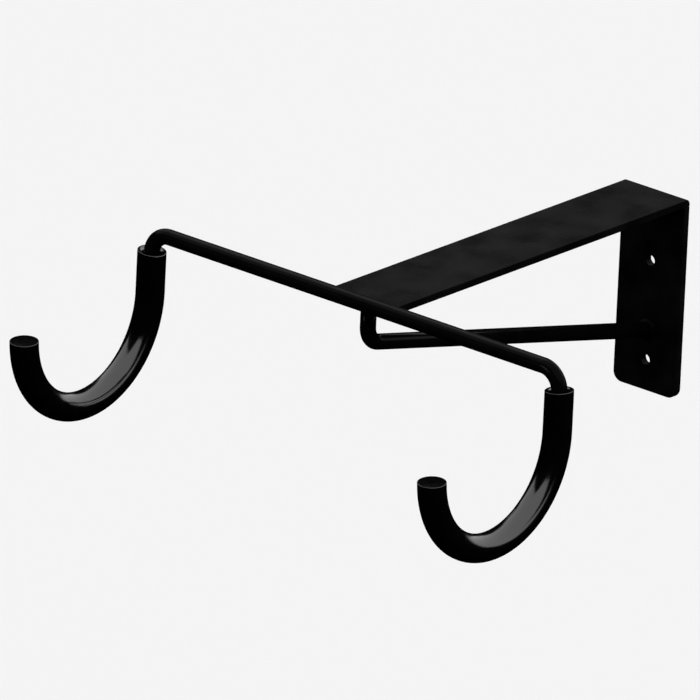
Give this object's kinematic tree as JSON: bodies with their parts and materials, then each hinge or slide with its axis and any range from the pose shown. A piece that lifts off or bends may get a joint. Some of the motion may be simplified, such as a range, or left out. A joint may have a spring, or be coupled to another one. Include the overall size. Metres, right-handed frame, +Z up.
{
  "type": "bicycle wall rack",
  "caption": "Black steel wall rack for a bicycle: a braced flat arm on a screwed wall plate carries a bent-rod crossbar whose J hooks wear soft closed sleeves.",
  "frame": {"origin": "middle of the wall plate's back face, which is the face against the wall", "axes": "+Z up, +Y into the wall, +X to the right for someone facing the wall; the rack reaches out along -Y and is a mirror image of itself about X = 0"},
  "size_m": [0.344, 0.4129, 0.1355],
  "materials": {
    "black_coat": "satin black powder coat",
    "black_vinyl": "glossy soft black vinyl",
    "coated_weld": "rippled weld bead under satin black powder coat"
  },
  "bodies": {
    "root": {"arm": "black_coat", "wall_plate": "black_coat", "brace_rod": "black_coat", "hook_rod": "black_coat", "hook_sleeve_left": "black_vinyl", "hook_sleeve_right": "black_vinyl", "weld_arm_to_plate": "coated_weld", "weld_hooks_top": "coated_weld", "weld_hooks_under": "coated_weld", "weld_brace_to_arm": "coated_weld", "weld_brace_to_plate": "coated_weld"}
  },
  "joints": []
}
